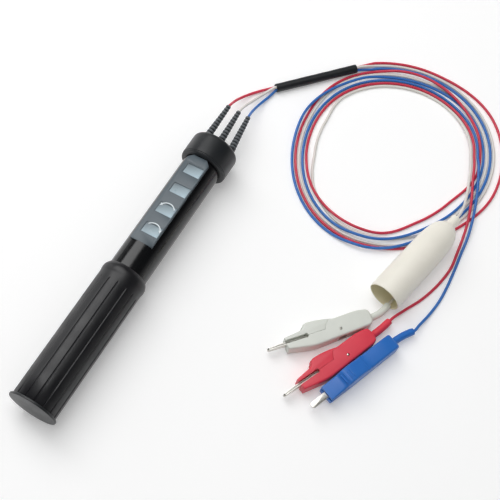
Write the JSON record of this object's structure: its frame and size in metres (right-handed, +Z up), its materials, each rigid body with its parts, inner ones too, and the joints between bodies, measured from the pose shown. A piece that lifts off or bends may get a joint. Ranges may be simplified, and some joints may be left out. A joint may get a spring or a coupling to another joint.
{
  "type": "phase rotation tester",
  "caption": "Hand-held phase rotation tester with a window panel on a gripped tube and long leads that end in insulated spring clips.",
  "frame": {"origin": "on the table under the middle of the handle", "axes": "+Y along the handle, from the grip towards the cap where the leads leave; +Z up, out of the window panel's side"},
  "size_m": [0.2207, 0.407, 0.037],
  "materials": {
    "barrel": "glossy black moulded tube",
    "grip": "satin black rubber",
    "cap": "satin black moulding",
    "panel": "grey semi-matt plate",
    "pane": "milky translucent window",
    "holder": "white moulding",
    "lamp": "neon lamp glass",
    "board": "green circuit board laminate",
    "resistor": "lacquered resistor body",
    "steel": "nickel-plated steel",
    "lead_red": "flexible red insulation",
    "lead_white": "flexible white insulation",
    "lead_blue": "flexible blue insulation",
    "clip_red": "red moulded clip cover",
    "clip_white": "white moulded clip cover",
    "clip_blue": "blue moulded clip cover",
    "relief": "soft black ribbed strain relief",
    "sleeve": "smooth black shrunk tube",
    "cover": "ivory soft insulating cover"
  },
  "bodies": {
    "tester": {"barrel_tube": "barrel", "grip_sleeve": "grip", "end_cap": "cap", "top_cap": "cap", "window_panel": "panel", "window_pane_1": "pane", "window_pane_2": "pane", "window_pane_3": "pane", "window_pane_4": "pane", "lamp_holder": "holder", "neon_lamps": "lamp", "circuit_board": "board", "series_resistors": "resistor", "cord_clamp": "holder", "clamp_screws": "steel", "inner_lead_red": "lead_red", "inner_lead_white": "lead_white", "inner_lead_blue": "lead_blue", "strain_relief_red": "relief", "strain_relief_white": "relief", "strain_relief_blue": "relief", "lead_red": "lead_red", "lead_white": "lead_white", "lead_blue": "lead_blue", "bundle_sleeve": "sleeve", "coil_red": "lead_red", "coil_white": "lead_white", "coil_blue": "lead_blue", "lead_red_end": "lead_red", "lead_white_end": "lead_white", "lead_blue_end": "lead_blue", "clip_red_body": "clip_red", "clip_red_jaw_fixed": "steel", "clip_red_pin": "steel", "clip_red_spring": "steel", "clip_white_body": "clip_white", "clip_white_jaw_fixed": "steel", "clip_white_pin": "steel", "clip_white_spring": "steel", "clip_blue_body": "clip_blue", "clip_blue_jaw_fixed": "steel", "clip_blue_pin": "steel", "clip_blue_spring": "steel"},
    "clip_lever_red": {"clip_red_lever": "clip_red", "clip_red_jaw_moving": "steel"},
    "clip_lever_white": {"clip_white_lever": "clip_white", "clip_white_jaw_moving": "steel"},
    "clip_lever_blue": {"clip_blue_lever": "clip_blue", "clip_blue_jaw_moving": "steel"},
    "cover": {"clip_cover": "cover"}
  },
  "joints": [
    {"name": "clip_red_jaw", "type": "hinge", "parent": "tester", "child": "clip_lever_red", "pos_m": [0.16281, 0.03134, 0.006], "axis": [0, 0, -1], "range_deg": [0, 11], "stiffness_Nm_per_rad": 0.3, "springref_deg": -57.3},
    {"name": "clip_white_jaw", "type": "hinge", "parent": "tester", "child": "clip_lever_white", "pos_m": [0.14904, 0.04581, 0.006], "axis": [0, 0, -1], "range_deg": [0, 11], "stiffness_Nm_per_rad": 0.3, "springref_deg": -57.3},
    {"name": "clip_blue_jaw", "type": "hinge", "parent": "tester", "child": "clip_lever_blue", "pos_m": [0.17762, 0.03573, 0.00517], "axis": [-0.9397, 0.342, 0], "range_deg": [0, 11], "stiffness_Nm_per_rad": 0.3, "springref_deg": -57.3},
    {"name": "cover_slide", "type": "slide", "parent": "tester", "child": "cover", "axis": [-0.2016, -0.9791, -0.0288], "range_m": [0, 0.008]}
  ]
}
